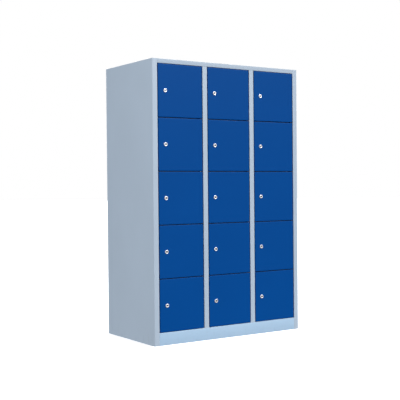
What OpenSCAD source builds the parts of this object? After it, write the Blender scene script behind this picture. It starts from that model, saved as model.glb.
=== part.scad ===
// Coin operated locker: columns of small doors in one welded sheet-steel carcass.
// Millimetres. X runs to the right along the front, Y to the back and Z up from the floor.
// The origin is on the floor, under the middle of the overall box.

/* [Overall size] */
// Width over the two side panels
overall_w = 1160; // [960:10:1600]
// Depth from the front face to the back face
overall_d = 620; // [450:10:800]
// Height from the floor to the top panel
overall_h = 1800; // [1500:10:2200]

/* [Layout] */
// Number of columns of doors
columns = 3; // [2:1:3]
// Number of doors in a column
rows = 5; // [3:1:6]
// Height of the plinth under the lowest doors
plinth_h = 80; // [60:5:150]
// Height of the rail over the highest doors
top_rail_h = 28; // [24:1:60]
// Width of the stiles and of the mullions between the columns
stile_w = 36; // [30:1:60]

/* [Sheet metal] */
// Thickness of every steel sheet
sheet_t = 1; // [0.8:0.1:1.5]
// Depth of the reveal that a door closes into
reveal_depth = 24; // [22.4:0.1:40]
// Width of the stop brim all round a door
brim_w = 12; // [12:1:16]
// Width of the flanges that join one sheet to the next
flange_w = 18; // [14:1:24]

/* [Doors] */
// Depth of a door's folded edge
door_depth = 20; // [19:0.1:20]
// Width of the lip folded inwards behind a door's edge
door_lip = 12; // [8:1:14]
// Gap beside a door
side_gap = 5; // [3.8:0.1:6]
// Gap between one door and the next one above it
door_gap = 5; // [3.6:0.1:6]
// How far the hinge axis lies in from the door's front face and from its edge
hinge_inset = 8; // [7.5:0.1:8]
// Diameter of a hinge pin
pin_d = 5; // [4:0.1:6]

/* [Coin lock] */
// Distance of the lock from the opening's left edge
lock_inset = 57; // [50:1:80]
// Diameter of the lock's front bezel
bezel_d = 25; // [22:1:30]
// How far the bezel stands out from the door
lock_proud = 4; // [2:0.5:8]
// Width of the coin case on the door's inner face
case_w = 68; // [64:1:90]
// Height of the coin case
case_h = 90; // [80:1:120]
// Diameter of the largest coin that the slot takes
coin_d = 27; // [20:1:30]

/* [Wall fixing] */
// Diameter of the four wall-fixing holes in the back panel
fixing_d = 9; // [6:0.5:12]

/* [Hidden] */
$fn = 48;

body_colour = [0.70, 0.76, 0.83];
door_colour = [0.02, 0.25, 0.53];
chrome_colour = [0.86, 0.86, 0.88];
zinc_colour = [0.66, 0.67, 0.69];
steel_colour = [0.58, 0.59, 0.61];
nylon_colour = [0.90, 0.90, 0.87];
rubber_colour = [0.10, 0.10, 0.11];

// Planes from the front to the back
front_y = (lock_proud - overall_d) / 2;
back_y = front_y + overall_d;
stop_front = front_y + reveal_depth;
stop_back = stop_front + sheet_t;
rear_face = back_y - sheet_t;
rear_inner = rear_face - sheet_t;

// Planes across the front
half_w = overall_w / 2;
web_inner = half_w - sheet_t;
opening_w = (overall_w - (columns + 1) * stile_w) / columns;
pitch_x = opening_w + stile_w;
pitch_z = (overall_h - plinth_h - top_rail_h) / rows;
rail_z = overall_h - top_rail_h;
roof_z = overall_h - sheet_t;
shelf_rise = 12;
floor_z = plinth_h + shelf_rise;
back_inset = 4;
top_flange = 14;

function left_x(c) = stile_w + c * pitch_x - half_w;
function right_x(c) = left_x(c) + opening_w;
function row_z(r) = plinth_h + r * pitch_z;
function mullion_x(m) = right_x(m) + stile_w / 2;
function wall_left(c) = c == 0 ? -web_inner : mullion_x(c - 1) + sheet_t / 2;
function wall_right(c) = c == columns - 1 ? web_inner : mullion_x(c) - sheet_t / 2;

// Air round a turning piece, and between pieces that are pressed or screwed together
running_fit = 0.05;
seat_air = 0.02;

// Hinges
hinge_y = front_y + hinge_inset;
bush_d = pin_d + 5;
bush_len = 12;
tab_t = door_gap / 2;
tab_r = 5.5;
function hinge_x(c) = right_x(c) - side_gap - hinge_inset;

// Rubber stops, two to a door, with a little air behind the closed door
buffer_d = 6;
buffer_air = 0.4;
buffer_inset = (side_gap + brim_w) / 2;
buffer_from_end = 32;
buffer_h = reveal_depth - door_depth - buffer_air;

// The lock, in its own frame: the axis through the key, the door's front face at 0
function lock_x(c) = left_x(c) + lock_inset;
function lock_z(r) = row_z(r) + pitch_z / 2;
barrel_d = 18;
rotor_d = 13;
rotor_recess = 1;
case_back = reveal_depth + sheet_t;
case_wall = 2.5;
case_left = 20;
case_right = case_w - case_left;
case_half_h = case_h / 2;
slot_w = 3.2;
slot_x = 28;
slot_z = 8;
cup_left = 14;
cup_right = case_right - 3;
cup_bottom = 5 - case_half_h;
cup_top = -10;
cup_lip_h = 11;
cup_proud = 7;
case_screw_d = 6;
case_screw_h = 1.6;
case_screw_inset = 6;
cam_air = 2;
cam_front = case_back + cam_air;
cam_t = 2;
cam_w = 18;
cam_reach = lock_inset - side_gap;
tenon_w = 8;
cam_hole = tenon_w + 2 * seat_air;
cam_screw_d = 11;
cam_screw_h = 2.5;
screw_seat = cam_front + cam_t + seat_air;
keyway_w = 2.6;
keyway_h = 8.5;
keyway_deep = 18;

// The wall-fixing holes are over the middle of the outer columns
fixing_x = -left_x(0) - opening_w / 2;
fixing_drop = 60;
foot_w = 30;

door_names = [for (c = [1:columns], r = [1:rows]) str("door_c", c, "_r", r)];
lock_names = [for (c = [1:columns], r = [1:rows]) str("coin_lock_c", c, "_r", r)];
plug_names = [for (c = [1:columns], r = [1:rows]) str("lock_plug_c", c, "_r", r)];
mullion_names = [for (m = [1:columns - 1]) str("mullion_", m)];
partition_names = [for (m = [1:columns - 1]) str("partition_", m)];
frame_names = [
    "side_panel_left", "side_panel_right", "back_panel", "top_panel", "floor_panel", "plinth",
    "top_rail", "shelves", "hinge_tabs", "hinge_pins", "door_buffers"
];

// A block between two opposite corners
module block(from, to) {
    translate(from) cube(to - from);
}

// A round bar along Y, from the depth y0 to y1 behind the door's front face
module bar_y(d, y0, y1) {
    translate([0, y0, 0]) rotate([-90, 0, 0]) cylinder(d = d, h = y1 - y0);
}

// A side panel with its stile, reveal and stop brim at the front and a flange at the back
module side_panel() {
    color(body_colour) union() {
        block([-half_w, front_y, 0], [-web_inner, rear_face, roof_z]);
        block([-half_w, front_y, 0], [left_x(0), front_y + sheet_t, roof_z]);
        block([left_x(0) - sheet_t, front_y, 0], [left_x(0), stop_back, roof_z]);
        block([left_x(0) - sheet_t, stop_front, plinth_h], [left_x(0) + brim_w, stop_back, rail_z]);
        block([-half_w, rear_inner, 0], [flange_w - half_w, rear_face, roof_z]);
    }
}

module side_panel_left() {
    side_panel();
}

module side_panel_right() {
    mirror([1, 0, 0]) side_panel();
}

// The flat back lies on the rear flanges and has the four wall-fixing holes
module back_panel() {
    color(body_colour) difference() {
        block([back_inset - half_w, rear_face, back_inset],
              [half_w - back_inset, back_y, overall_h - back_inset]);
        for (x = [-fixing_x, fixing_x], r = [1, rows])
            translate([x, 0, row_z(r) - fixing_drop]) bar_y(fixing_d, rear_inner, back_y + sheet_t);
    }
}

// The lid lies on the side panels and the top rail, with four flanges down inside them
module top_panel() {
    under = overall_h - top_flange;
    color(body_colour) union() {
        block([-half_w, front_y, roof_z], [half_w, rear_face, overall_h]);
        block([left_x(0), front_y + sheet_t, under], [-left_x(0), front_y + 2 * sheet_t, overall_h]);
        block([flange_w - half_w, rear_inner, under], [half_w - flange_w, rear_face, overall_h]);
        for (s = [0, 1]) mirror([s, 0, 0])
            block([-web_inner, stop_back, under], [sheet_t - web_inner, rear_inner, overall_h]);
    }
}

// The floor of the lowest row, level with the brim behind the plinth, with four flanges down and two ears
// that close the hollow stiles off from the ground
module floor_panel() {
    under = floor_z - sheet_t;
    low = floor_z - flange_w;
    plate_front = stop_back + sheet_t;
    color(body_colour) union() {
        block([-web_inner, stop_back, under], [web_inner, rear_inner, floor_z]);
        block([-web_inner, stop_back, low], [web_inner, plate_front, floor_z]);
        block([-web_inner, rear_inner - sheet_t, low], [web_inner, rear_inner, floor_z]);
        for (s = [0, 1]) mirror([s, 0, 0]) {
            block([-web_inner, stop_back, low], [sheet_t - web_inner, rear_inner, floor_z]);
            block([-web_inner, front_y + sheet_t, under], [left_x(0) - sheet_t, plate_front, floor_z]);
        }
    }
}

// The plinth's face, its foot flange, its reveal under the lowest doors and one brim to a column
module plinth() {
    color(body_colour) union() {
        block([left_x(0), front_y, 0], [-left_x(0), front_y + sheet_t, plinth_h]);
        block([left_x(0), front_y, 0], [-left_x(0), front_y + foot_w, sheet_t]);
        block([left_x(0), front_y, plinth_h - sheet_t], [-left_x(0), stop_back, plinth_h]);
        for (c = [0:columns - 1])
            block([left_x(c) + brim_w, stop_front, plinth_h - sheet_t],
                  [right_x(c) - brim_w, stop_back, floor_z]);
    }
}

// The rail over the highest doors, with its reveal and one brim to a column
module top_rail() {
    color(body_colour) union() {
        block([left_x(0), front_y, rail_z], [-left_x(0), front_y + sheet_t, roof_z]);
        block([left_x(0), front_y, rail_z], [-left_x(0), stop_back, rail_z + sheet_t]);
        for (c = [0:columns - 1])
            block([left_x(c) + brim_w, stop_front, rail_z - shelf_rise],
                  [right_x(c) - brim_w, stop_back, rail_z + sheet_t]);
    }
}

// A hat section between two columns: face, two reveals and two stop brims
module mullion(m) {
    half = stile_w / 2;
    color(body_colour) translate([mullion_x(m), 0, 0]) union() {
        block([-half, front_y, plinth_h], [half, front_y + sheet_t, rail_z]);
        for (s = [0, 1]) mirror([s, 0, 0]) {
            block([-half, front_y, plinth_h], [sheet_t - half, stop_back, rail_z]);
            block([-half - brim_w, stop_front, plinth_h], [sheet_t - half, stop_back, rail_z]);
        }
    }
}

// The wall between two columns, with its flanges on the side away from the cams of the next column's locks
module partition(m) {
    half_t = sheet_t / 2;
    rear_top = overall_h - top_flange;
    color(body_colour) translate([mullion_x(m), 0, 0]) union() {
        block([-half_t, stop_back, floor_z], [half_t, rear_inner, roof_z]);
        block([-stile_w / 2 - brim_w, stop_back, floor_z], [half_t, stop_back + sheet_t, roof_z]);
        block([-half_t, rear_inner - sheet_t, floor_z], [half_t, rear_face, rear_top]);
        block([-flange_w, rear_inner, floor_z], [half_t, rear_face, rear_top]);
    }
}

// One shelf: its front edge closes the gap behind two doors, and flanges as deep go down at the other edges
module shelf(c, r) {
    top = row_z(r) + shelf_rise;
    low = row_z(r) - shelf_rise;
    tongue_left = left_x(c) + brim_w;
    tongue_right = right_x(c) - brim_w;
    plate_front = stop_back + sheet_t;
    plate_back = rear_inner;
    union() {
        block([tongue_left, stop_front, top - sheet_t], [tongue_right, plate_back, top]);
        block([tongue_left, stop_front, low], [tongue_right, stop_back, top]);
        block([tongue_left, stop_front, low], [tongue_right, stop_front + shelf_rise, low + sheet_t]);
        block([wall_left(c), plate_front, top - sheet_t], [wall_right(c), plate_back, top]);
        block([wall_left(c), plate_back - sheet_t, low], [wall_right(c), plate_back, top]);
        block([wall_left(c), plate_front, low], [wall_left(c) + sheet_t, plate_back, top]);
        block([wall_right(c) - sheet_t, plate_front, low], [wall_right(c), plate_back, top]);
    }
}

module shelves() {
    color(body_colour) for (c = [0:columns - 1], r = [1:rows - 1]) shelf(c, r);
}

// A tab from the reveal into the gap between two doors, drilled for the hinge pin
module hinge_tab(c, r) {
    translate([hinge_x(c), hinge_y, row_z(r) - tab_t / 2]) difference() {
        union() {
            cylinder(r = tab_r, h = tab_t);
            block([0, -tab_r, 0], [right_x(c) - hinge_x(c), tab_r, tab_t]);
        }
        translate([0, 0, -tab_t]) cylinder(d = pin_d, h = 3 * tab_t);
    }
}

module hinge_tabs() {
    color(body_colour) for (c = [0:columns - 1], r = [1:rows - 1]) hinge_tab(c, r);
}

// Pins under the lowest door, through each tab and over the highest door
module hinge_pins() {
    reach = door_gap / 2 + bush_len;
    color(steel_colour) for (c = [0:columns - 1], r = [0:rows]) {
        below = r == 0 ? 0 : reach;
        above = r == rows ? 0 : reach;
        translate([hinge_x(c), hinge_y, row_z(r) - below]) cylinder(d = pin_d, h = below + above);
    }
}

module door_buffers() {
    color(rubber_colour) for (c = [0:columns - 1], r = [0:rows - 1], end = [0, 1]) {
        z = end == 0 ? row_z(r) + buffer_from_end : row_z(r + 1) - buffer_from_end;
        translate([left_x(c) + buffer_inset, 0, z]) bar_y(buffer_d, stop_front - buffer_h, stop_front);
    }
}

// The folded door pan, drilled for the lock and for the two pivot bushes
module door_pan(c, r) {
    x0 = left_x(c) + side_gap;
    x1 = right_x(c) - side_gap;
    z0 = row_z(r) + door_gap / 2;
    z1 = row_z(r + 1) - door_gap / 2;
    y1 = front_y + door_depth;
    difference() {
        block([x0, front_y, z0], [x1, y1, z1]);
        block([x0 + sheet_t, front_y + sheet_t, z0 + sheet_t], [x1 - sheet_t, y1 - sheet_t, z1 - sheet_t]);
        block([x0 + door_lip, front_y + sheet_t, z0 + door_lip],
              [x1 - door_lip, y1 + sheet_t, z1 - door_lip]);
        translate([lock_x(c), 0, lock_z(r)]) bar_y(barrel_d, front_y - sheet_t, front_y + 2 * sheet_t);
        for (z = [z0, z1]) translate([hinge_x(c), hinge_y, z - 2 * sheet_t])
            cylinder(d = bush_d + 2 * seat_air, h = 4 * sheet_t);
    }
}

// A pivot bush that runs on a hinge pin
module pivot_bush(c, z) {
    translate([hinge_x(c), hinge_y, z]) difference() {
        cylinder(d = bush_d, h = bush_len);
        translate([0, 0, -1]) cylinder(d = pin_d + 2 * running_fit, h = bush_len + 2);
    }
}

module door(c, r) {
    color(door_colour) door_pan(c, r);
    color(nylon_colour) pivot_bush(c, row_z(r) + door_gap / 2);
    color(nylon_colour) pivot_bush(c, row_z(r + 1) - door_gap / 2 - bush_len);
}

// The coin case is a tray that lies open side down on the door's inner face
module coin_case() {
    difference() {
        block([-case_left, sheet_t, -case_half_h], [case_right, case_back, case_half_h]);
        block([case_wall - case_left, 0, case_wall - case_half_h],
              [case_right - case_wall, case_back - case_wall, case_half_h - case_wall]);
        bar_y(barrel_d + 2 * seat_air, 0, case_back + 1);
        block([slot_x - slot_w / 2, 0, slot_z], [slot_x + slot_w / 2, case_back + 1, slot_z + coin_d]);
        block([cup_left, case_wall, cup_bottom], [cup_right, case_back + 1, cup_top]);
    }
}

// The cup that the coin drops back into: a floor, two cheeks and a lip
module return_cup() {
    wall = 2;
    lip_back = case_back + cup_proud;
    lip_top = cup_bottom + cup_lip_h;
    block([cup_left - wall, case_back, cup_bottom - wall], [cup_right + wall, lip_back, cup_bottom]);
    block([cup_left - wall, lip_back - wall, cup_bottom - wall], [cup_right + wall, lip_back, lip_top]);
    for (x = [cup_left - wall, cup_right])
        block([x, case_back, cup_bottom - wall], [x + wall, lip_back, lip_top]);
}

// The heads of the screws that hold the coin case, in the three corners clear of the cup
module case_screws() {
    near = case_screw_inset - case_left;
    far = case_right - case_screw_inset;
    high = case_half_h - case_screw_inset;
    for (at = [[near, high], [far, high], [near, -high]]) translate([at[0], 0, at[1]])
        bar_y(case_screw_d, case_back + seat_air, case_back + seat_air + case_screw_h);
}

// Coin case with its cup, the screws, and the bezel with its barrel, bored for the lock plug
module coin_lock(c, r) {
    translate([lock_x(c), front_y, lock_z(r)]) {
        color(zinc_colour) {
            coin_case();
            return_cup();
        }
        color(steel_colour) case_screws();
        color(chrome_colour) difference() {
            union() {
                rotate([90, 0, 0]) cylinder(d1 = bezel_d, d2 = bezel_d - 4, h = lock_proud);
                bar_y(barrel_d, 0, case_back);
            }
            bar_y(rotor_d + 2 * running_fit, -lock_proud - 1, case_back + 1);
        }
    }
}

// The turning part of the lock: rotor with its keyway, cam and cam screw
module lock_plug(c, r) {
    translate([lock_x(c), front_y, lock_z(r)]) {
        color(chrome_colour) difference() {
            union() {
                bar_y(rotor_d, rotor_recess - lock_proud, cam_front - seat_air);
                block([-tenon_w / 2, keyway_deep, -tenon_w / 2],
                      [tenon_w / 2, cam_front + cam_t, tenon_w / 2]);
            }
            block([-keyway_w / 2, -lock_proud, -keyway_h / 2], [keyway_w / 2, keyway_deep, keyway_h / 2]);
        }
        color(steel_colour) difference() {
            union() {
                bar_y(cam_w, cam_front, cam_front + cam_t);
                block([-cam_w / 2, cam_front, -cam_reach], [cam_w / 2, cam_front + cam_t, 0]);
            }
            block([-cam_hole / 2, cam_front - sheet_t, -cam_hole / 2],
                  [cam_hole / 2, cam_front + 2 * cam_t, cam_hole / 2]);
        }
        color(steel_colour) bar_y(cam_screw_d, screw_seat, screw_seat + cam_screw_h);
    }
}

side_panel_left();
side_panel_right();
back_panel();
top_panel();
floor_panel();
plinth();
top_rail();
shelves();
hinge_tabs();
hinge_pins();
door_buffers();
for (m = [1:columns - 1]) {
    mullion(m - 1);
    partition(m - 1);
}
for (c = [1:columns], r = [1:rows]) {
    door(c - 1, r - 1);
    coin_lock(c - 1, r - 1);
    lock_plug(c - 1, r - 1);
}
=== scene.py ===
"""Coin operated locker: columns of small blue doors in one welded, grey painted sheet-steel carcass.

Each sub-assembly is a class that works out its sheets, castings and turned pieces from the places of the
CAD nodes, builds them as numpy surfaces in metres and dresses them. X runs to the right along the front,
Y to the back and Z up from the floor.
"""

import logging
import math
from dataclasses import dataclass, field
from enum import Enum

import bmesh
import bpy
import numpy as np
from bpy.types import NodeSocket
from mathutils import Matrix, Vector


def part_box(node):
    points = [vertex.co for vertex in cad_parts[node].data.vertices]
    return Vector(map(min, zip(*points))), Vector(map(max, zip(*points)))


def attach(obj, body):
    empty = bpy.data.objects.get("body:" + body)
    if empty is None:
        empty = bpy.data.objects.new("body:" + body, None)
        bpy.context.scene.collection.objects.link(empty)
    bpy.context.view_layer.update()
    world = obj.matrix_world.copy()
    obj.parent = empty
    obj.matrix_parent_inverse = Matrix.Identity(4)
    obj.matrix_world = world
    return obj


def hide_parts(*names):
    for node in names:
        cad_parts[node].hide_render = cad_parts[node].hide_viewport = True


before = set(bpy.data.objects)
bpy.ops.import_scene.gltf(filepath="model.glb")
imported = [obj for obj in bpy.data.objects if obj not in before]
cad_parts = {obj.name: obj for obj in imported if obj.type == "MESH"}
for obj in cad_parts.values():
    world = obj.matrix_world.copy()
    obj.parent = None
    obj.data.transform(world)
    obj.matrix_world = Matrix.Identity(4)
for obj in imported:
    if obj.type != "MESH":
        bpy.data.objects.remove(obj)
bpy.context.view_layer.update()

LOG = logging.getLogger("locker")
MM = 0.001
SHEET = 1.0 * MM
BEND = 1.0 * MM
SAME_POINT = 0.001 * MM
NO_LENGTH = 0.1 * SAME_POINT
CLEAR = 0.02 * MM
CRISP_FROM = math.radians(32)
ROUNDED_FROM = math.radians(40)


# --------------------------------------------------------------------------------------------------
# Surfaces


class Sweep(Enum):
    """The axis that a section is carried along: the places of its two coordinates and of that axis."""

    X = (1, 2, 0)
    Y = (0, 2, 1)
    Z = (0, 1, 2)


@dataclass
class Surface:
    """Points and faces gathered from numpy grids, then put into one mesh."""

    points: list[np.ndarray] = field(default_factory=list)
    faces: list[tuple[int, ...]] = field(default_factory=list)
    count: int = 0

    def grid(self, p: np.ndarray, close_u: bool = False, close_v: bool = False) -> "Surface":
        """Adds a surface of two parameters: cell (u, v) is the quad of its four neighbouring grid points.

        Args:
            p: Points, one row for each u and one column for each v, with three coordinates each.
            close_u: Joins the last row to the first one.
            close_v: Joins the last column to the first one.

        Returns:
            This surface, so that calls can be chained.
        """
        rows, columns = p.shape[:2]
        index = np.arange(rows * columns).reshape(rows, columns) + self.count
        if close_u:
            index = np.vstack([index, index[:1]])
        if close_v:
            index = np.hstack([index, index[:, :1]])
        quads = np.stack([index[:-1, :-1], index[1:, :-1], index[1:, 1:], index[:-1, 1:]], axis=-1)
        self.points.append(p.reshape(-1, 3))
        self.faces += [tuple(q) for q in quads.reshape(-1, 4).tolist()]
        self.count += rows * columns
        return self

    def cap(self, loop: np.ndarray) -> "Surface":
        """Adds one flat face over a closed loop of points.

        Args:
            loop: The loop's points in order.

        Returns:
            This surface.
        """
        self.points.append(loop)
        self.faces.append(tuple(range(self.count, self.count + len(loop))))
        self.count += len(loop)
        return self

    def piece(self, name: str) -> bpy.types.Object:
        """Joins coincident points, turns every face outwards and links the mesh as an object at the origin.

        Args:
            name: The piece's name.

        Returns:
            The new object.
        """
        mesh = bpy.data.meshes.new(name)
        mesh.from_pydata(np.concatenate(self.points).tolist(), [], self.faces)
        work = bmesh.new()
        work.from_mesh(mesh)
        bmesh.ops.remove_doubles(work, verts=work.verts, dist=SAME_POINT)
        bmesh.ops.dissolve_degenerate(work, edges=work.edges, dist=NO_LENGTH)
        bmesh.ops.recalc_face_normals(work, faces=work.faces)
        work.to_mesh(mesh)
        work.free()
        mesh.shade_smooth()
        mesh.set_sharp_from_angle(angle=CRISP_FROM)
        piece = bpy.data.objects.new(name, mesh)
        bpy.context.scene.collection.objects.link(piece)
        return piece


def rounded(line: np.ndarray, radii: np.ndarray, steps: int = 5) -> np.ndarray:
    """Rounds the inner corners of an open outline.

    Each corner becomes an arc that starts its tangent length before the corner: the radius times the
    tangent of half the turn. The arc's points are its start turned about its centre by equal shares of
    the turn.

    Args:
        line: The outline's points, two coordinates each.
        radii: One radius for each inner corner.
        steps: How many chords an arc has.

    Returns:
        The rounded outline's points.
    """
    leg = np.diff(line, axis=0)
    leg /= np.linalg.norm(leg, axis=1)[:, None]
    before, after, corner = leg[:-1], leg[1:], line[1:-1]
    turn = np.arctan2(before[:, 0] * after[:, 1] - before[:, 1] * after[:, 0], (before * after).sum(1))
    inward = after - before
    inward /= np.linalg.norm(inward, axis=1)[:, None]
    centre = corner + inward * (radii / np.cos(turn / 2))[:, None]
    start = corner - before * (radii * np.tan(np.abs(turn) / 2))[:, None] - centre
    angle = turn[:, None] * np.linspace(0, 1, steps + 1)[None, :]
    arc_x = start[:, :1] * np.cos(angle) - start[:, 1:] * np.sin(angle) + centre[:, :1]
    arc_y = start[:, :1] * np.sin(angle) + start[:, 1:] * np.cos(angle) + centre[:, 1:]
    arcs = np.stack([arc_x, arc_y], axis=-1).reshape(-1, 2)
    return np.concatenate([line[:1], arcs, line[-1:]])


def sheet_faces(line: np.ndarray, side: int, bend: float = BEND) -> tuple[np.ndarray, np.ndarray]:
    """The two faces of a folded sheet in section, with true bend radii.

    The second face is the first one moved by the sheet's thickness along its mitred normals. At each bend
    the face on the inside gets the bend radius, and the face on the outside that radius plus the thickness.

    Args:
        line: The first face's outline with sharp corners.
        side: 1 if the metal lies to the left of the outline, -1 if it lies to the right.
        bend: The inner bend radius.

    Returns:
        Both faces' outlines, with as many points each.
    """
    leg = np.diff(line, axis=0)
    leg /= np.linalg.norm(leg, axis=1)[:, None]
    normal = np.stack([-leg[:, 1], leg[:, 0]], axis=1) * side
    ends = np.concatenate([normal[:1], normal, normal[-1:]])
    mitre = (ends[:-1] + ends[1:]) / (1 + (ends[:-1] * ends[1:]).sum(1))[:, None]
    left_turn = leg[:-1, 0] * leg[1:, 1] - leg[:-1, 1] * leg[1:, 0] > 0
    outside = left_turn if side > 0 else ~left_turn
    first = rounded(line, bend + SHEET * outside)
    second = rounded(line + SHEET * mitre, bend + SHEET * ~outside)
    return first, second


def lift(section: np.ndarray, sweep: Sweep, place: float) -> np.ndarray:
    """Puts a flat section into space at one place along its sweep axis.

    Args:
        section: Points with two coordinates each.
        sweep: The axis at right angles to the section.
        place: The place on that axis.

    Returns:
        Points with three coordinates each.
    """
    first, second, along = sweep.value
    points = np.empty(section.shape[:-1] + (3,))
    points[..., first] = section[..., 0]
    points[..., second] = section[..., 1]
    points[..., along] = place
    return points


def fold(surface: Surface, line: list[tuple[float, float]], side: int, sweep: Sweep, start: float,
         end: float, bend: float = BEND) -> None:
    """Adds a folded sheet: its section carried straight along one axis, closed at both ends.

    Args:
        surface: What the sheet is added to.
        line: The outline of one face of the sheet, with sharp corners.
        side: 1 if the metal lies to the left of the outline, -1 if it lies to the right.
        sweep: The axis that the section is carried along.
        start: Where the sheet starts on that axis.
        end: Where it ends.
        bend: The inner bend radius.
    """
    first, second = sheet_faces(np.array(line, float), side, bend)
    outline = np.concatenate([first, second[::-1]])
    surface.grid(np.stack([lift(outline, sweep, start), lift(outline, sweep, end)]), close_v=True)
    for place in (start, end):
        surface.grid(np.stack([lift(first, sweep, place), lift(second, sweep, place)]))


def strip(surface: Surface, low: tuple[float, float, float], high: tuple[float, float, float]) -> None:
    """Adds a flat bar of sheet: the closed surface between two opposite corners.

    Args:
        surface: What the bar is added to.
        low: Its lowest corner.
        high: Its highest corner.
    """
    a, b = np.array(low), np.array(high)
    loop = np.array([[0, 0], [1, 0], [1, 1], [0, 1]], float)
    rings = [np.column_stack([loop, np.full(4, z)]) * (b - a) + a for z in (0.0, 1.0)]
    surface.grid(np.stack(rings), close_v=True).cap(rings[0]).cap(rings[1])


def rectangle_loop(half: np.ndarray, radius: float, steps: int = 5) -> np.ndarray:
    """A rectangle with round corners, centred on the origin.

    Each corner's points are its arc centre, which lies one radius inside both sides, plus the radius times
    the cosine and sine of angles that run over a quarter turn.

    Args:
        half: Half the width and half the height.
        radius: The corner radius.
        steps: How many chords a corner has.

    Returns:
        The loop's points, two coordinates each.
    """
    quarter = np.linspace(0, math.pi / 2, steps + 1)
    angle = (np.arange(4)[:, None] * math.pi / 2 + quarter[None, :]).reshape(-1)
    sign = np.repeat(np.array([[1, 1], [-1, 1], [-1, -1], [1, -1]], float), steps + 1, axis=0)
    return sign * (half - radius) + radius * np.stack([np.cos(angle), np.sin(angle)], axis=1)


def circle(radius: float, count: int) -> np.ndarray:
    """Evenly spaced points of a circle: the radius times the cosine and sine of equal steps of a turn.

    Args:
        radius: The circle's radius.
        count: How many points it has.

    Returns:
        The points, two coordinates each.
    """
    angle = np.linspace(0, 2 * math.pi, count, endpoint=False)
    return radius * np.stack([np.cos(angle), np.sin(angle)], axis=1)


def turned(surface: Surface, section: list[tuple[float, float]], centre: Vector, sweep: Sweep = Sweep.Y,
           count: int = 48, closed: bool = False) -> None:
    """Adds a turned piece: each point of the section (radius, place along the axis) runs round the axis.

    Args:
        surface: What the piece is added to.
        section: Radii and places, which count from the centre.
        centre: A point on the axis.
        sweep: The axis.
        count: How many points each ring has.
        closed: Joins the section's end to its start, as for a ring with a bore.
    """
    first, second, along = sweep.value
    rings = []
    for radius, place in section:
        ring = circle(radius, count) + np.array([centre[first], centre[second]])
        rings.append(lift(ring, sweep, centre[along] + place))
    surface.grid(np.stack(rings), close_u=closed, close_v=True)
    if not closed:
        surface.cap(rings[0]).cap(rings[-1])


def carved(surface: Surface, lines: tuple[np.ndarray, np.ndarray, np.ndarray], solid: np.ndarray) -> None:
    """Adds the closed skin of a block that three sets of planes divide, with some of its cells cut away.

    A skin face lies wherever a solid cell meets an empty one, which shows as a step in the array of cells
    along one of its three directions.

    Args:
        surface: What the skin is added to.
        lines: The planes' places along X, Y and Z.
        solid: One value for each cell, true where there is metal.
    """
    shell = np.pad(solid, 1).astype(int)
    for axis in range(3):
        step = np.diff(shell, axis=axis)
        at = np.argwhere(step != 0)
        others = [k for k in range(3) if k != axis]
        corners = []
        for da, db in ((0, 0), (1, 0), (1, 1), (0, 1)):
            corner = np.empty((len(at), 3))
            corner[:, axis] = lines[axis][at[:, axis]]
            corner[:, others[0]] = lines[others[0]][at[:, others[0]] - 1 + da]
            corner[:, others[1]] = lines[others[1]][at[:, others[1]] - 1 + db]
            corners.append(corner)
        block = np.stack(corners, axis=1).reshape(-1, 3)
        index = np.arange(len(block)).reshape(-1, 4) + surface.count
        surface.points.append(block)
        surface.faces += [tuple(q) for q in index.tolist()]
        surface.count += len(block)


def bevelled(piece: bpy.types.Object, width: float) -> bpy.types.Object:
    """Rounds a piece's sharp edges with a live bevel.

    Args:
        piece: The piece.
        width: The bevel's width.

    Returns:
        The piece.
    """
    bevel = piece.modifiers.new("edge rounding", "BEVEL")
    bevel.width = width
    bevel.segments = 2
    bevel.limit_method = "ANGLE"
    bevel.angle_limit = ROUNDED_FROM
    bevel.harden_normals = True
    return piece


# --------------------------------------------------------------------------------------------------
# Finishes


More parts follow.
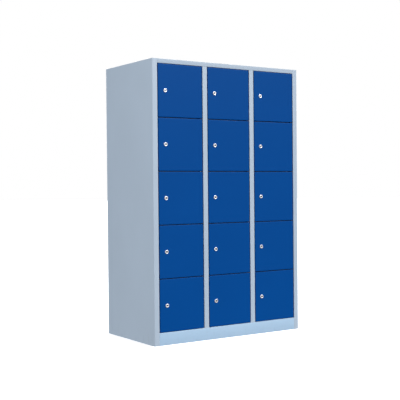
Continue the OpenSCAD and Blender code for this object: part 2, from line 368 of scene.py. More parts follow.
class Nodes:
    """A short way to place and link a material's nodes."""

    def __init__(self, name: str) -> None:
        """Makes the material with a Principled shader and Object coordinates.

        Args:
            name: The material's name.
        """
        self.material = bpy.data.materials.new(name)
        self.material.use_nodes = True
        self.tree = self.material.node_tree
        self.shader = self.tree.nodes["Principled BSDF"]
        self.place = self.tree.nodes.new("ShaderNodeTexCoord").outputs["Object"]

    def add(self, kind: str, **inputs: object) -> bpy.types.Node:
        """Adds one node and sets or links its inputs.

        Args:
            kind: The node's type, without its ShaderNode prefix.
            **inputs: Values or output sockets, by input name with spaces as underscores.

        Returns:
            The new node.
        """
        node = self.tree.nodes.new("ShaderNode" + kind)
        for key, value in inputs.items():
            by_place = key[0] == "n" and key[1:].isdigit()
            socket = node.inputs[int(key[1:]) if by_place else key.replace("_", " ")]
            if isinstance(value, NodeSocket):
                self.tree.links.new(value, socket)
            else:
                socket.default_value = value
        return node

    def noise(self, scale: float, detail: float = 2.0,
              stretch: tuple[float, float, float] = (1, 1, 1)) -> NodeSocket:
        """Noise with features of about one over the scale in metres.

        Args:
            scale: Features in a metre.
            detail: How many finer layers are added.
            stretch: How much the pattern is packed along each axis.

        Returns:
            The noise value.
        """
        where = self.add("Mapping", Vector=self.place)
        where.inputs["Scale"].default_value = stretch
        return self.add("TexNoise", Vector=where.outputs[0], Scale=scale, Detail=detail).outputs["Fac"]

    def ramp(self, value: NodeSocket, low: float, high: float, out_low: float,
             out_high: float) -> NodeSocket:
        """Maps a stretch of a value to another stretch, held at both ends.

        Args:
            value: The input.
            low: The input's low end.
            high: The input's high end.
            out_low: The result at the low end.
            out_high: The result at the high end.

        Returns:
            The mapped value.
        """
        node = self.add("MapRange", Value=value, From_Min=low, From_Max=high, To_Min=out_low,
                        To_Max=out_high)
        node.clamp = True
        return node.outputs["Result"]

    def math(self, what: str, a: object, b: object = 0.0) -> NodeSocket:
        """One sum, product or other operation of two values.

        Args:
            what: The operation's name.
            a: The first value or socket.
            b: The second value or socket.

        Returns:
            The result.
        """
        node = self.add("Math", n0=a, n1=b)
        node.operation = what
        return node.outputs[0]

    def mix(self, share: object, a: object, b: object) -> NodeSocket:
        """A mix of two colours.

        Args:
            share: How much of the second colour there is.
            a: The first colour.
            b: The second colour.

        Returns:
            The mixed colour.
        """
        node = self.tree.nodes.new("ShaderNodeMix")
        node.data_type = "RGBA"
        factor, first, second = node.inputs[0], node.inputs[6], node.inputs[7]
        for socket, value in ((factor, share), (first, a), (second, b)):
            if isinstance(value, NodeSocket):
                self.tree.links.new(value, socket)
            else:
                socket.default_value = value
        return node.outputs[2]

    def bump(self, layers: list[tuple[NodeSocket, float]]) -> None:
        """Stacks bump layers onto the shader's normal.

        Args:
            layers: Heights with the depth of each in metres.
        """
        normal = None
        for height, depth in layers:
            node = self.add("Bump", Height=height, Distance=depth, Strength=1.0)
            if normal is not None:
                self.tree.links.new(normal, node.inputs["Normal"])
            normal = node.outputs["Normal"]
        self.tree.links.new(normal, self.shader.inputs["Normal"])

    def set(self, **inputs: object) -> None:
        """Sets or links the shader's own inputs.

        Args:
            **inputs: Values or sockets, by input name with spaces as underscores.
        """
        for key, value in inputs.items():
            socket = self.shader.inputs[key.replace("_", " ")]
            if isinstance(value, NodeSocket):
                self.tree.links.new(value, socket)
            else:
                socket.default_value = value


def shade(colour: tuple[float, float, float], factor: float) -> tuple[float, float, float, float]:
    """A colour made lighter or darker, with full alpha."""
    return (*(min(1.0, c * factor) for c in colour), 1.0)


@dataclass(frozen=True)
class PowderCoat:
    """Baked powder paint: fine orange peel, hardly visible clouds of tone, and light rubbing at the foot."""

    name: str
    colour: tuple[float, float, float]
    roughness: float
    gloss: float = 0.5
    coat: float = 0.15
    peel: float = 0.00002
    wave: float = 0.00012

    def material(self) -> bpy.types.Material:
        """Builds the paint.

        Returns:
            The material.
        """
        n = Nodes(self.name)
        cloud = n.noise(2.2, 3.0)
        speck = n.noise(420, 2.0)
        darker, lighter = shade(self.colour, 0.975), shade(self.colour, 1.025)
        tone = n.mix(n.ramp(cloud, 0.3, 0.7, 0.0, 1.0), darker, lighter)
        tone = n.mix(n.ramp(speck, 0.35, 0.65, 0.0, 0.05), tone, shade(self.colour, 0.8))
        height = n.add("SeparateXYZ", Vector=n.place).outputs["Z"]
        low = n.ramp(height, 0.0, 0.14, 1.0, 0.0)
        rub = n.ramp(n.noise(55, 4.0, (1, 1, 0.22)), 0.58, 0.72, 0.0, 1.0)
        scuff = n.math("MULTIPLY", n.math("MULTIPLY", low, rub), 0.10)
        n.set(Base_Color=n.mix(scuff, tone, (0.10, 0.10, 0.10, 1.0)))
        fine = n.ramp(n.noise(160, 2.0), 0.3, 0.7, self.roughness - 0.03, self.roughness + 0.03)
        n.set(Roughness=n.math("ADD", fine, n.math("MULTIPLY", scuff, 1.2)))
        n.set(Specular_IOR_Level=self.gloss, Coat_Weight=self.coat, Coat_Roughness=0.22)
        n.bump([(n.noise(1.6, 1.0), self.wave * 6), (n.noise(750, 1.5), self.peel)])
        return n.material


@dataclass(frozen=True)
class Metal:
    """Bare or plated metal: a tint, a grain stretched one way, and faint handling marks."""

    name: str
    colour: tuple[float, float, float]
    roughness: float
    grain: float = 900.0
    stretch: tuple[float, float, float] = (1, 1, 1)
    depth: float = 0.000004
    mottle: float = 0.06
    metallic: float = 1.0

    def material(self) -> bpy.types.Material:
        """Builds the metal.

        Returns:
            The material.
        """
        n = Nodes(self.name)
        cloud = n.ramp(n.noise(60, 3.0), 0.3, 0.7, 0.0, 1.0)
        dull, clean = shade(self.colour, 1 - self.mottle), shade(self.colour, 1 + self.mottle)
        n.set(Base_Color=n.mix(cloud, dull, clean), Metallic=self.metallic)
        grain = n.noise(self.grain, 2.0, self.stretch)
        n.set(Roughness=n.ramp(grain, 0.3, 0.7, self.roughness * 0.8, self.roughness * 1.2))
        n.bump([(grain, self.depth)])
        return n.material


@dataclass(frozen=True)
class Plastic:
    """Moulded plastic or rubber: a plain tone with a fine moulded skin."""

    name: str
    colour: tuple[float, float, float]
    roughness: float
    skin: float = 0.00001

    def material(self) -> bpy.types.Material:
        """Builds the plastic.

        Returns:
            The material.
        """
        n = Nodes(self.name)
        cloud = n.ramp(n.noise(90, 2.0), 0.3, 0.7, 0.0, 1.0)
        n.set(Base_Color=n.mix(cloud, shade(self.colour, 0.92), shade(self.colour, 1.08)))
        skin = n.noise(1400, 2.0)
        n.set(Roughness=n.ramp(skin, 0.3, 0.7, self.roughness - 0.05, self.roughness + 0.05))
        n.bump([(skin, self.skin)])
        return n.material


class Finish(Enum):
    """The finishes of this locker."""

    GREY_PAINT = PowderCoat("light grey powder coat", (0.40, 0.49, 0.60), 0.42)
    PLINTH_PAINT = PowderCoat("pale blue-grey powder coat", (0.37, 0.53, 0.71), 0.42)
    BLUE_PAINT = PowderCoat("gentian blue powder coat", (0.0008, 0.060, 0.262), 0.36, 0.05, 0.0)
    # The bezel's nickel is only half metal: its near-white diffuse share is a painted sheen that keeps the
    # ring as bright as a mirrored white would.
    NICKEL_PAINTED_SHEEN = Metal("nickel plate with painted white sheen", (0.93, 0.93, 0.95), 0.36, 1500.0, (1, 0.2, 1), 0.000002, 0.02,
                   0.55)
    ROTOR = Metal("satin nickel rotor face", (0.40, 0.40, 0.42), 0.30, 2500.0, (1, 0.2, 1), 0.000003, 0.03)
    ZINC = Metal("die-cast zinc", (0.50, 0.51, 0.53), 0.46, 500.0, (1, 1, 1), 0.00002, 0.07)
    STEEL = Metal("bright zinc-plated steel", (0.60, 0.60, 0.61), 0.30, 700.0, (1, 1, 0.1), 0.000005, 0.05)
    # Near-black steel on the hinge tabs is painted shade: the tabs sit in the gaps beside the doors, which
    # fall dark.
    GAP_SHADE_STEEL = Metal("steel darkened as painted gap shade", (0.045, 0.047, 0.052), 0.50, 700.0, (1, 1, 1), 0.000005, 0.10)
    NYLON = Plastic("natural nylon", (0.72, 0.71, 0.66), 0.42)
    RUBBER = Plastic("black rubber", (0.018, 0.018, 0.019), 0.72, 0.00002)
    SHUTTER = Plastic("dark keyway shutter", (0.012, 0.012, 0.013), 0.35)


class Paintbox:
    """Makes each finish's material once."""

    def __init__(self) -> None:
        """Starts with no material made."""
        self.made: dict[Finish, bpy.types.Material] = {}

    def __getitem__(self, finish: Finish) -> bpy.types.Material:
        """The finish's material, made at its first use."""
        if finish not in self.made:
            self.made[finish] = finish.value.material()
        return self.made[finish]


PAINT = Paintbox()


def dress(piece: bpy.types.Object, finish: Finish, body: str, slot: str = "",
          *stands_for: str) -> bpy.types.Object:
    """Gives a piece its finish, the body that it rides on and the nodes that it stands for.

    Args:
        piece: The finished piece.
        finish: Its finish.
        body: The body that it moves with.
        slot: The record's material slot, if it takes one; not used.
        *stands_for: The CAD nodes that it replaces.

    Returns:
        The piece.
    """
    piece.data.materials.clear()
    piece.data.materials.append(PAINT[finish])
    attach(piece, body)
    if stands_for:
        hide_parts(*stands_for)
    LOG.info("%s: %d faces, %s, rides on %s", piece.name, len(piece.data.polygons), finish.value.name, body)
    return piece


# --------------------------------------------------------------------------------------------------
# The locker


def low_high(node: str) -> tuple[np.ndarray, np.ndarray]:
    """A CAD node's lowest and highest corners at rest."""
    low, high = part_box(node)
    return np.array(low), np.array(high)


@dataclass
class Layout:
    """The planes and pitches that the sheets share, read from the frame."""

    columns: int = 3
    rows: int = 5
    flange: float = 18 * MM
    lid_flange: float = 14 * MM
    foot: float = 30 * MM
    rise: float = 12 * MM
    side_gap: float = 5 * MM
    hinge_inset: float = 8 * MM

    def __post_init__(self) -> None:
        """Reads the planes from the boxes of the side panels, the plinth, the rail and one door."""
        side_low, side_high = low_high("side_panel_left")
        _, lid_high = low_high("top_panel")
        plinth_low, plinth_high = low_high("plinth")
        rail_low, _ = low_high("top_rail")
        door_low, door_high = low_high("door_c1_r1")
        above_low, _ = low_high("door_c1_r2")
        second_low, _ = low_high("door_c2_r1")
        _, brim_high = low_high("mullion_1")
        self.half_w = -side_low[0]
        self.front = side_low[1]
        self.rear = side_high[1]
        self.back = low_high("back_panel")[1][1]
        self.top = lid_high[2]
        self.roof = side_high[2]
        self.left = plinth_low[0]
        self.floor = plinth_high[2]
        self.plinth = self.floor - self.rise
        self.rail = rail_low[2] + self.rise
        self.stop = brim_high[1] - SHEET
        self.brim = side_high[0] - self.left
        self.pitch_x = second_low[0] - door_low[0]
        self.pitch_z = above_low[2] - door_low[2]
        self.opening = door_high[0] - door_low[0] + 2 * self.side_gap
        self.stile = self.pitch_x - self.opening
        self.door_depth = door_high[1] - door_low[1]

    def left_of(self, c: int) -> float:
        """The left edge of a column's opening."""
        return self.left + c * self.pitch_x

    def right_of(self, c: int) -> float:
        """The right edge of a column's opening."""
        return self.left_of(c) + self.opening

    def row(self, r: int) -> float:
        """The height of the line under a row of doors."""
        return self.plinth + r * self.pitch_z

    def mullion(self, m: int) -> float:
        """The middle of a mullion."""
        return self.right_of(m) + self.stile / 2

    def wall_left(self, c: int) -> float:
        """The inner face of the wall on a compartment's left."""
        return SHEET - self.half_w if c == 0 else self.mullion(c - 1) + SHEET / 2

    def wall_right(self, c: int) -> float:
        """The inner face of the wall on a compartment's right."""
        return self.half_w - SHEET if c == self.columns - 1 else self.mullion(c) - SHEET / 2


CARCASS = "carcass"


@dataclass
class Carcass:
    """The welded box: side panels, lid, back, plinth, rail, mullions, partitions, shelves and floor."""

    at: Layout

    def painted(self, s: Surface, name: str, node: str,
                finish: Finish = Finish.GREY_PAINT) -> bpy.types.Object:
        """Makes the gathered sheets one painted piece of the carcass.

        Args:
            s: The sheets.
            name: The piece's name.
            node: The CAD node that it replaces.
            finish: Its paint.

        Returns:
            The piece.
        """
        return dress(s.piece(name), finish, CARCASS, "body_paint", node)

    def side_panel(self, side: int) -> bpy.types.Object:
        """One side panel: rear flange, web, stile and reveal in one folded sheet, with its stop brim.

        Args:
            side: -1 for the left panel, 1 for the right one.

        Returns:
            The piece.
        """
        at, s = self.at, Surface()
        x = side * at.half_w
        edge = -side * at.left
        line = [(x - side * at.flange, at.rear), (x, at.rear), (x, at.front), (edge, at.front),
                (edge, at.stop)]
        fold(s, line, -side, Sweep.Z, 0.0, at.roof)
        behind, stop_back = edge + side * SHEET, at.stop + SHEET
        low, high = sorted((behind, edge - side * at.brim))
        strip(s, (low, at.stop, at.plinth), (high, stop_back, at.rail))
        low, high = sorted((behind, edge))
        strip(s, (low, at.stop, 0.0), (high, stop_back, at.plinth))
        name = "left" if side < 0 else "right"
        return self.painted(s, f"side_{name}", f"side_panel_{name}")

    def lid(self) -> bpy.types.Object:
        """The lid: a flat sheet with rounded edges, and four flanges down inside the carcass."""
        at, s = self.at, Surface()
        centre = np.array([0.0, (at.front + at.rear) / 2])
        half = np.array([at.half_w, (at.rear - at.front) / 2])
        corner, round_over, halfway = 1.5 * MM, 0.8 * MM, 0.25 * MM
        rings = [(round_over, at.top), (halfway, at.top - halfway), (0.0, at.top - round_over),
                 (0.0, at.roof)]
        loops = [lift(rectangle_loop(half - inset, corner - inset) + centre, Sweep.Z, z)
                 for inset, z in rings]
        s.grid(np.stack(loops), close_v=True).cap(loops[0]).cap(loops[-1])
        under = at.top - at.lid_flange
        wall = at.half_w - SHEET
        strip(s, (at.left, at.front + SHEET, under), (-at.left, at.front + 2 * SHEET, at.roof))
        strip(s, (at.flange - at.half_w, at.rear - SHEET, under), (at.half_w - at.flange, at.rear, at.roof))
        strip(s, (-wall, at.stop + SHEET, under), (SHEET - wall, at.rear - SHEET, at.roof))
        strip(s, (wall - SHEET, at.stop + SHEET, under), (wall, at.rear - SHEET, at.roof))
        return self.painted(s, "lid", "top_panel")

    def brims(self, s: Surface, low: float, high: float) -> None:
        """Adds one stop brim to each column, between the brims of the stiles and mullions.

        Args:
            s: The surface.
            low: The brims' lower edge.
            high: Their upper edge.
        """
        at = self.at
        for c in range(at.columns):
            left, right = at.left_of(c) + at.brim, at.right_of(c) - at.brim
            strip(s, (left, at.stop, low), (right, at.stop + SHEET, high))

    def plinth(self) -> bpy.types.Object:
        """The plinth: foot flange, face and reveal in one folded sheet, and the lowest doors' brims."""
        at, s = self.at, Surface()
        line = [(at.front + at.foot, 0.0), (at.front, 0.0), (at.front, at.plinth),
                (at.stop + SHEET, at.plinth)]
        fold(s, line, -1, Sweep.X, at.left, -at.left)
        self.brims(s, at.plinth, at.floor)
        return self.painted(s, "plinth_sheet", "plinth", Finish.PLINTH_PAINT)

    def top_rail(self) -> bpy.types.Object:
        """The top rail: face and reveal in one folded sheet, and the highest doors' brims."""
        at, s = self.at, Surface()
        line = [(at.front, at.roof), (at.front, at.rail), (at.stop + SHEET, at.rail)]
        fold(s, line, 1, Sweep.X, at.left, -at.left)
        self.brims(s, at.rail - at.rise, at.rail)
        return self.painted(s, "rail_sheet", "top_rail")

    def mullion(self, m: int) -> bpy.types.Object:
        """One mullion: a hat section of two brims, two reveals and the face.

        Args:
            m: Which mullion, from the left.

        Returns:
            The piece.
        """
        at, s = self.at, Surface()
        x, half = at.mullion(m), at.stile / 2
        left, right = x - half, x + half
        line = [(left - at.brim, at.stop), (left, at.stop), (left, at.front), (right, at.front),
                (right, at.stop), (right + at.brim, at.stop)]
        fold(s, line, 1, Sweep.Z, at.plinth, at.rail)
        return self.painted(s, f"mullion_hat_{m + 1}", f"mullion_{m + 1}")

    def partition(self, m: int) -> bpy.types.Object:
        """One partition: front flange, web and rear flange in one folded sheet.

        Args:
            m: Which partition, from the left.

        Returns:
            The piece.
        """
        at, s = self.at, Surface()
        x = at.mullion(m) + SHEET / 2
        front, under = at.stop + SHEET, at.top - at.lid_flange
        far = at.mullion(m) - at.stile / 2 - at.brim
        line = [(far, front), (x, front), (x, at.rear), (at.mullion(m) - at.flange, at.rear)]
        fold(s, line, 1, Sweep.Z, at.floor, under)
        fold(s, [*line[:2], (x, at.rear - SHEET)], 1, Sweep.Z, under, at.roof)
        return self.painted(s, f"partition_wall_{m + 1}", f"partition_{m + 1}")

    def floor(self) -> bpy.types.Object:
        """The floor of the lowest row: a flanged plate with an ear into the foot of each hollow stile."""
        at, s = self.at, Surface()
        wall = at.half_w - SHEET
        under = at.floor - at.flange
        front, rear = at.stop + SHEET, at.rear - SHEET
        line = [(-wall, under), (-wall, at.floor), (wall, at.floor), (wall, under)]
        fold(s, line, -1, Sweep.Y, front, rear)
        strip(s, (SHEET - wall, front, under), (wall - SHEET, front + SHEET, at.floor - SHEET))
        strip(s, (SHEET - wall, rear - SHEET, under), (wall - SHEET, rear, at.floor - SHEET))
        for side in (-1, 1):
            near, far = sorted((side * wall, side * (abs(at.left) + SHEET)))
            strip(s, (near, at.front + SHEET, at.floor - SHEET), (far, front + BEND, at.floor))
        return self.painted(s, "floor_sheet", "floor_panel")

    def shelf(self, s: Surface, c: int, r: int) -> None:
        """Adds one shelf: the folded front edge that closes the gap behind two doors, and the flanged plate.

        Args:
            s: The surface that gathers all the shelves of a column.
            c: The column.
            r: The row of doors above the shelf.
        """
        at = self.at
        top, low = at.row(r) + at.rise, at.row(r) - at.rise
        front, rear = at.stop + 2 * SHEET, at.rear - SHEET
        nose = [(at.stop + at.rise, low), (at.stop, low), (at.stop, top), (front, top)]
        fold(s, nose, -1, Sweep.X, at.left_of(c) + at.brim, at.right_of(c) - at.brim, bend=0.5 * MM)
        left, right = at.wall_left(c), at.wall_right(c)
        fold(s, [(left, low), (left, top), (right, top), (right, low)], -1, Sweep.Y, front, rear)
        strip(s, (left + SHEET, rear - SHEET, low), (right - SHEET, rear, top - SHEET))

    def shelves(self) -> list[bpy.types.Object]:
        """All the shelves, one piece to a column.

        Returns:
            The pieces.
        """
        made = []
        for c in range(self.at.columns):
            s = Surface()
            for r in range(1, self.at.rows):
                self.shelf(s, c, r)
            made.append(self.painted(s, f"shelves_column_{c + 1}", "shelves"))
        return made

    def build(self) -> None:
        """Builds the whole carcass, and paints the CAD nodes whose shape is already right."""
        for side in (-1, 1):
            self.side_panel(side)
        self.lid()
        self.plinth()
        self.top_rail()
        for m in range(self.at.columns - 1):
            self.mullion(m)
            self.partition(m)
        self.floor()
        self.shelves()
        keep("back_panel", Finish.GREY_PAINT)


def keep(node: str, finish: Finish) -> None:
    """Gives a CAD node that stays in view its finish.

    Args:
        node: The node.
        finish: Its finish.
    """
    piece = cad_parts[node]
    piece.data.materials.clear()
    piece.data.materials.append(PAINT[finish])
    LOG.info("%s: CAD shape kept, %s", node, finish.value.name)


@dataclass
class Hinges:
    """The tabs and pins that the doors turn on, and the rubber stops behind their free edges."""

    at: Layout
    buffer_radius: float = 3 * MM
    from_edge: float = 8.5 * MM
    from_end: float = 32 * MM

    def buffers(self) -> bpy.types.Object:
        """The rubber stops: discs with a rounded front, two to a door."""
        at, s = self.at, Surface()
        low, high = low_high("door_buffers")
        tall, radius = high[1] - low[1], self.buffer_radius
        rim = 1.2 * MM
        quarter = np.linspace(math.pi / 2, 0, 5)
        edge = [(radius - rim * (1 - math.cos(a)), rim * (1 - math.sin(a)) - tall) for a in quarter]
        section = [*edge, (radius, 0.0)]
        for c in range(at.columns):
            for r in range(at.rows):
                for z in (at.row(r) + self.from_end, at.row(r + 1) - self.from_end):
                    turned(s, section, Vector((at.left_of(c) + self.from_edge, at.stop, z)), count=20)
        return dress(s.piece("door_stops"), Finish.RUBBER, CARCASS, "rubber", "door_buffers")

    def build(self) -> None:
        """Builds the stops, gives the tabs a near-black steel as painted shade for the gaps, and finishes
        the pins.
        """
        self.buffers()
        # The tabs would be body grey; their near-black steel is painted shade for the gap that they sit in.
        keep("hinge_tabs", Finish.GAP_SHADE_STEEL)
        keep("hinge_pins", Finish.STEEL)


@dataclass
class Door:
    """One folded door pan with its two pivot bushes."""

    at: Layout
    c: int
    r: int
    lip: float = 12 * MM
    flat_from: float = 9 * MM
    corner: float = 2.4 * MM
    least_corner: float = 0.3 * MM
    bend: float = 0.8 * MM
    lock_inset: float = 57 * MM
    barrel: float = 9.02 * MM
    bush: float = 5 * MM
    bush_bore: float = 2.55 * MM
    bush_length: float = 12 * MM

    @property
    def tag(self) -> str:
        """The door's column and row, as the nodes name them."""
        return f"c{self.c + 1}_r{self.r + 1}"

    @property
    def lock(self) -> Vector:
        """The point where the lock's axis meets the door's front face."""
        at = self.at
        return Vector((at.left_of(self.c) + self.lock_inset, at.front, at.row(self.r) + at.pitch_z / 2))

    def pan(self) -> bpy.types.Object:
        """The pan: the section of face, bend, edge, bend and lip runs round the door's outline.

        The section's first coordinate is how far a point lies in from the outline, and its second is its
        depth. Each face then runs from its innermost loop towards the lock's axis, along one ray for each of
        the loop's points, as far as the barrel's radius. Those points lie at the corners only, so the hole's
        edge is straight between the rays, and there the sheet reaches into the barrel.

        Returns:
            The piece.
        """
        at, s = self.at, Surface()
        low, high = low_high(f"door_{self.tag}")
        centre, half = (low + high)[[0, 2]] / 2, (high - low)[[0, 2]] / 2
        line = np.array([(self.flat_from, 0.0), (0.0, 0.0), (0.0, at.door_depth), (self.lip, at.door_depth)])
        outer, inner = sheet_faces(line, -1, self.bend)
        section = np.concatenate([outer, inner[::-1]])
        loops = [rectangle_loop(half - inset, max(self.corner - inset, self.least_corner)) + centre
                 for inset, _ in section]
        rings = [lift(loop, Sweep.Y, at.front + depth) for loop, (_, depth) in zip(loops, section)]
        hole = np.array([self.lock.x, self.lock.z])
        ray = loops[0] - hole
        ray = hole + ray / np.linalg.norm(ray, axis=1)[:, None] * self.barrel
        holes = [lift(ray, Sweep.Y, at.front), lift(ray, Sweep.Y, at.front + SHEET)]
        s.grid(np.stack([holes[0], *rings, holes[1]]), close_u=True, close_v=True)
        return dress(s.piece(f"door_pan_{self.tag}"), Finish.BLUE_PAINT, f"door_{self.tag}", "door_paint",
                     f"door_{self.tag}")

    def bushes(self) -> bpy.types.Object:
        """The nylon bushes that run on the hinge pins: rings with a bore and rounded rims."""
        at, s = self.at, Surface()
        low, high = low_high(f"door_{self.tag}")
        x, y = at.right_of(self.c) - at.side_gap - at.hinge_inset, at.front + at.hinge_inset
        rim = 0.5 * MM
        tall = self.bush_length
        ring = [(self.bush_bore, 0.0), (self.bush - rim, 0.0), (self.bush, rim), (self.bush, tall - rim),
                (self.bush - rim, tall), (self.bush_bore, tall)]
        for z in (low[2], high[2] - tall):
            turned(s, ring, Vector((x, y, z)), Sweep.Z, 24, closed=True)
        return dress(s.piece(f"pivot_bushes_{self.tag}"), Finish.NYLON, f"door_{self.tag}")

    def build(self) -> None:
        """Builds the door."""
        self.pan()
        self.bushes()


@dataclass
class CoinLock:
    """The coin-return lock of one door: bezel and barrel in front, coin case with slot and cup behind."""

    door: Door
    bezel: float = 12.5 * MM
    proud: float = 4 * MM
    bore: float = 6.55 * MM
    back: float = 25 * MM
    wall: float = 2.5 * MM
    slot_x: float = 28 * MM
    slot_wide: float = 3.2 * MM
    slot_z: tuple[float, float] = (8 * MM, 35 * MM)
    cup_x: tuple[float, float] = (14 * MM, 45 * MM)
    cup_z: tuple[float, float] = (-40 * MM, -10 * MM)
    cup_lip: float = 11 * MM
    cup_proud: float = 7 * MM
    screw_inset: float = 6 * MM

    def front(self) -> bpy.types.Object:
        """The bezel and its barrel: a turned ring with a domed rim, bored for the rotor."""
        s = Surface()
        r, p = self.bezel, self.proud
        quarter = np.linspace(0, math.pi / 2, 7)
        dome, straight, bore = 2.4 * MM, 0.8 * MM, self.bore
        barrel = self.door.barrel - CLEAR
        rim = [(r - dome * (1 - math.sin(a)), -p + (p - straight) * (1 - math.cos(a))) for a in quarter]
        mouth = [(bore, -p + 1.2 * MM), (bore + 0.5 * MM, -p + 0.35 * MM), (bore + 1.1 * MM, -p)]
        section = [*mouth, *rim, (r, 0.0), (barrel, 0.0), (barrel, self.back), (bore, self.back)]
        turned(s, section, self.door.lock, count=56, closed=True)
        # The bezel's white diffuse share is a painted sheen on the ring.
        return dress(s.piece(f"lock_bezel_{self.door.tag}"), Finish.NICKEL_PAINTED_SHEEN, f"door_{self.door.tag}",
                     "lock_chrome", f"coin_lock_{self.door.tag}")

    def case(self) -> bpy.types.Object:
        """The coin case: a tray open towards the door, with a coin slot and a cup's window in its back."""
        s = Surface()
        low, high = low_high(f"coin_lock_{self.door.tag}")
        origin = np.array(self.door.lock)
        low, high = low - origin, high - origin
        hole = self.door.barrel
        slot = (self.slot_x - self.slot_wide / 2, self.slot_x + self.slot_wide / 2)
        cheek = 2 * MM
        lip_back = self.back + self.cup_proud
        cup_floor = self.cup_z[0] - cheek
        lip_top = self.cup_z[0] + self.cup_lip
        xs = (low[0], low[0] + self.wall, -hole, hole, self.cup_x[0] - cheek, *self.cup_x, *slot,
              self.cup_x[1] + cheek, high[0] - self.wall, high[0])
        ys = (SHEET, self.back - self.wall, self.back, lip_back - cheek, lip_back)
        zs = (low[2], low[2] + self.wall, cup_floor, lip_top, *self.cup_z, -hole, hole, *self.slot_z,
              high[2] - self.wall, high[2])
        xs, ys, zs = (np.unique(np.round(v, 6)) for v in (xs, ys, zs))
        mid = [(v[:-1] + v[1:]) / 2 for v in (xs, ys, zs)]
        x, y, z = np.meshgrid(*mid, indexing="ij")

        def inside(value: np.ndarray, low_end: float, high_end: float) -> np.ndarray:
            """Where a coordinate lies between two ends."""
            return (value > low_end) & (value < high_end)

        box = y < self.back
        hollow = inside(x, low[0] + self.wall, high[0] - self.wall)
        hollow &= inside(z, low[2] + self.wall, high[2] - self.wall)
        metal = box & ~(hollow & (y < self.back - self.wall))
        metal &= ~(inside(x, *slot) & inside(z, *self.slot_z))
        metal &= ~(inside(x, *self.cup_x) & inside(z, *self.cup_z))
        metal &= ~(inside(x, -hole, hole) & inside(z, -hole, hole))
        cup = inside(x, self.cup_x[0] - cheek, self.cup_x[1] + cheek) & inside(z, cup_floor, lip_top)
        cup &= y > self.back
        pocket = inside(x, *self.cup_x) & (y < lip_back - cheek) & (z > self.cup_z[0])
        metal |= cup & ~pocket
        carved(s, (xs + origin[0], ys + origin[1], zs + origin[2]), metal)
        piece = bevelled(s.piece(f"coin_case_{self.door.tag}"), 0.6 * MM)
        return dress(piece, Finish.ZINC, f"door_{self.door.tag}")

    def fixings(self) -> bpy.types.Object:
        """The screws of the case: domed heads with a driver socket, and the lock nut round the barrel."""
        s = Surface()
        low, high = low_high(f"coin_lock_{self.door.tag}")
        centre = self.door.lock
        near, far = low + self.screw_inset, high - self.screw_inset
        head = [(3.0 * MM, 0.0), (3.0 * MM, 0.5 * MM), (2.6 * MM, 1.1 * MM), (1.9 * MM, 1.5 * MM),
                (1.1 * MM, 1.6 * MM), (1.0 * MM, 1.5 * MM), (0.9 * MM, 0.6 * MM)]
        for x, z in ((near[0], far[2]), (far[0], far[2]), (near[0], near[2])):
            turned(s, head, Vector((x, centre.y + self.back, z)), count=18)
        inner, outer, thick = self.bore + 0.1 * MM, 13.0 * MM, 0.8 * MM
        nut = [(inner, 0.0), (outer, 0.0), (outer, thick / 2), (outer - thick / 2, thick), (inner, thick)]
        turned(s, nut, Vector((centre.x, centre.y + self.back, centre.z)), count=36, closed=True)
        return dress(s.piece(f"case_screws_{self.door.tag}"), Finish.STEEL, f"door_{self.door.tag}")

    def build(self) -> None:
        """Builds the fixed part of the lock."""
        self.front()
        self.case()
        self.fixings()


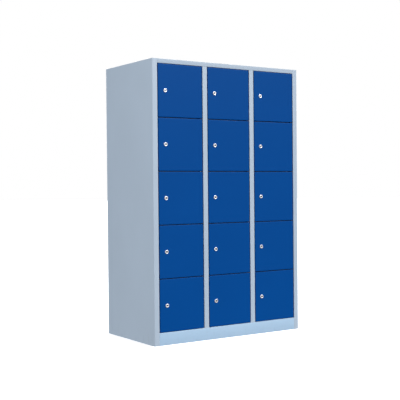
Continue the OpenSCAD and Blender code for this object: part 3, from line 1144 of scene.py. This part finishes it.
@dataclass
class LockPlug:
    """The turning part of one lock: rotor with its keyway, cam and cam screw."""

    door: Door
    radius: float = 6.5 * MM
    face: float = -3 * MM
    shutter: float = 4.4 * MM
    key_half: tuple[float, float] = (1.3 * MM, 3.6 * MM)
    cam_front: float = 27 * MM
    cam_thick: float = 2 * MM
    cam_half: float = 9 * MM
    screw_radius: float = 5.5 * MM

    @property
    def body(self) -> str:
        """The body that the plug's pieces ride on."""
        return f"plug_{self.door.tag}"

    def rotor(self) -> bpy.types.Object:
        """The rotor: rings from its rear end over its rim to the sunk keyway shutter."""
        s = Surface()
        r, f = self.radius, self.face
        section = [(r, self.cam_front), (r, f + 0.4 * MM), (r - 0.35 * MM, f), (self.shutter + 0.3 * MM, f),
                   (self.shutter, f + 0.25 * MM), (self.shutter, f + 0.9 * MM)]
        turned(s, section, self.door.lock, count=48)
        return dress(s.piece(f"rotor_{self.door.tag}"), Finish.ROTOR, self.body, "lock_chrome",
                     f"lock_plug_{self.door.tag}")

    def keyway(self) -> bpy.types.Object:
        """The dark shutter and its keyway: loops that change from a disc to the slot, then run inwards.

        Each loop is a share of the circle plus the rest of the slot's rounded outline, point by point.

        Returns:
            The piece.
        """
        s = Surface()
        steps = 7
        slot = rectangle_loop(np.array(self.key_half), 1.1 * MM, steps)
        angle = np.arctan2(slot[:, 1], slot[:, 0])
        disc = (self.shutter - CLEAR) * np.stack([np.cos(angle), np.sin(angle)], axis=1)
        at = self.door.lock
        start = self.face + 0.55 * MM
        stages = [(0.0, start + 0.4 * MM), (0.0, start), (0.5, start), (1.0, start + 0.05 * MM),
                  (1.0, start + 9 * MM)]
        loops = [lift((1 - k) * disc + k * slot + np.array([at.x, at.z]), Sweep.Y, at.y + y)
                 for k, y in stages]
        s.grid(np.stack(loops), close_v=True).cap(loops[0]).cap(loops[-1])
        return dress(s.piece(f"keyway_{self.door.tag}"), Finish.SHUTTER, self.body)

    def cam(self) -> bpy.types.Object:
        """The cam: a flat bar with a round head, hanging down while the door is unlocked."""
        s = Surface()
        low, _ = low_high(f"lock_plug_{self.door.tag}")
        at = self.door.lock
        reach, half, nose = at.z - low[2], self.cam_half, 3.5 * MM
        count, steps = 48, 6
        top = circle(half, count)[:count // 2 + 1]
        foot = rectangle_loop(np.array([half, reach]), nose, steps)[2 * (steps + 1):]
        outline = np.concatenate([top, foot]) + np.array([at.x, at.z])
        y0 = at.y + self.cam_front
        ends = [lift(outline, Sweep.Y, y0), lift(outline, Sweep.Y, y0 + self.cam_thick)]
        s.grid(np.stack(ends), close_v=True).cap(ends[0]).cap(ends[1])
        return dress(bevelled(s.piece(f"cam_{self.door.tag}"), 0.35 * MM), Finish.STEEL, self.body)

    def screw(self) -> bpy.types.Object:
        """The cam's screw: a domed head on a washer, with a driver socket."""
        s = Surface()
        r = self.screw_radius
        y = self.cam_front + self.cam_thick
        head = [(r, 0.0), (r, 0.6 * MM), (4.2 * MM, 0.62 * MM), (4.1 * MM, 1.6 * MM), (3.2 * MM, 2.3 * MM),
                (1.7 * MM, 2.5 * MM), (1.6 * MM, 2.4 * MM), (1.4 * MM, 1.2 * MM)]
        turned(s, head, self.door.lock + Vector((0, y, 0)), count=24)
        return dress(s.piece(f"cam_screw_{self.door.tag}"), Finish.STEEL, self.body)

    def build(self) -> None:
        """Builds the turning part of the lock."""
        self.rotor()
        self.keyway()
        self.cam()
        self.screw()


# --------------------------------------------------------------------------------------------------
# Studio


@dataclass
class Studio:
    """A pale floor that runs into a white surround, soft lights, and the camera."""

    eye: tuple[float, float, float] = (-3.3207, -4.9669, 0.9983)
    heading: float = 33.541
    pitch: float = -0.899
    roll: float = -0.517
    lens: float = 78.054
    white: float = 1.0
    even: float = 0.22
    horizon: float = 0.06
    overhead: float = 1.2
    glow: float = 0.55
    floor_radius: float = 60.0
    light_distance: float = 6.0

    def camera(self) -> None:
        """Sets the camera: turned from the level view along +Y by heading, pitch and roll."""
        data = bpy.data.cameras.new("camera")
        data.lens, data.sensor_width = self.lens, 36.0
        data.clip_start, data.clip_end = 0.1, 200.0
        camera = bpy.data.objects.new("camera", data)
        bpy.context.scene.collection.objects.link(camera)
        turn = Matrix.Rotation(math.radians(-self.heading), 4, "Z")
        nod = Matrix.Rotation(math.radians(90 + self.pitch), 4, "X")
        tilt = Matrix.Rotation(math.radians(self.roll), 4, "Z")
        camera.matrix_world = Matrix.Translation(self.eye) @ turn @ nod @ tilt
        bpy.context.scene.camera = camera

    def floor(self) -> None:
        """Lays the pale floor: a wide disc at the height that the plinth stands on."""
        s = Surface()
        s.cap(lift(circle(self.floor_radius, 96), Sweep.Z, 0.0))
        floor = s.piece("studio_floor")
        if floor.data.polygons[0].normal.z < 0:
            floor.data.flip_normals()
        n = Nodes("pale studio floor")
        tone = n.ramp(n.noise(3.0, 2.0), 0.3, 0.7, 0.88, 0.90)
        n.set(Base_Color=n.add("CombineColor", Red=tone, Green=tone, Blue=tone).outputs[0], Roughness=0.85)
        n.set(Emission_Color=(1.0, 1.0, 1.0, 1.0), Emission_Strength=self.glow)
        floor.data.materials.append(n.material)
        floor.visible_glossy = floor.visible_diffuse = False

    def soft_light(self, name: str, toward: tuple[float, float, float], spread: float,
                   strength: float) -> None:
        """Hangs one large, far light, so that its light is as strong at the floor as at the top.

        Args:
            name: The light's name.
            toward: The direction from the locker to the light.
            spread: How wide the light looks from the locker, in degrees.
            strength: Its strength on a face that looks straight at it.
        """
        data = bpy.data.lights.new(name, "SUN")
        data.angle, data.energy = math.radians(spread), strength * math.pi
        light = bpy.data.objects.new(name, data)
        light.rotation_euler = (-Vector(toward)).to_track_quat("-Z", "Y").to_euler()
        light.location = Vector(toward).normalized() * self.light_distance
        bpy.context.scene.collection.objects.link(light)

    def surround(self) -> None:
        """Puts a white surround behind the locker.

        It lights the locker faintly and evenly, and mirrors bright overhead and dark near the horizon.
        """
        world = bpy.data.worlds.new("white surround")
        world.use_nodes = True
        tree = world.node_tree
        background = tree.nodes["Background"]
        background.inputs["Color"].default_value = (1.0, 1.0, 1.0, 1.0)
        rays = tree.nodes.new("ShaderNodeLightPath")
        height = tree.nodes.new("ShaderNodeSeparateXYZ")
        tree.links.new(tree.nodes.new("ShaderNodeTexCoord").outputs["Generated"], height.inputs[0])
        mirrored = tree.nodes.new("ShaderNodeMapRange")
        ends = {"From Min": 0.25, "From Max": 0.75, "To Min": self.horizon, "To Max": self.overhead}
        for key, value in ends.items():
            mirrored.inputs[key].default_value = value
        tree.links.new(height.outputs["Z"], mirrored.inputs["Value"])
        lit = tree.nodes.new("ShaderNodeMix")
        tree.links.new(rays.outputs["Is Glossy Ray"], lit.inputs[0])
        lit.inputs[2].default_value = self.even
        tree.links.new(mirrored.outputs[0], lit.inputs[3])
        strength = tree.nodes.new("ShaderNodeMix")
        tree.links.new(rays.outputs["Is Camera Ray"], strength.inputs[0])
        tree.links.new(lit.outputs[0], strength.inputs[2])
        strength.inputs[3].default_value = self.white
        tree.links.new(strength.outputs[0], background.inputs["Strength"])
        bpy.context.scene.world = world

    def build(self) -> None:
        """Builds the studio."""
        self.camera()
        self.floor()
        self.surround()
        self.soft_light("key_light", (2.2, -3.5, 2.4), 24.0, 1.16)
        self.soft_light("left_light", (-1.0, 0.05, 0.2), 30.0, 0.74)
        self.soft_light("top_light", (0.0, 0.1, 1.0), 40.0, 0.15)
        self.soft_light("back_light", (0.3, 1.0, 0.3), 30.0, 0.55)
        bpy.context.scene.view_settings.view_transform = "Standard"


def main() -> None:
    """Builds the locker and the studio."""
    logging.basicConfig(level=logging.INFO, format="%(name)s: %(message)s")
    at = Layout()
    Studio().build()
    Carcass(at).build()
    Hinges(at).build()
    for c in range(at.columns):
        for r in range(at.rows):
            door = Door(at, c, r)
            door.build()
            CoinLock(door).build()
            LockPlug(door).build()


if __name__ == "__main__":
    main()
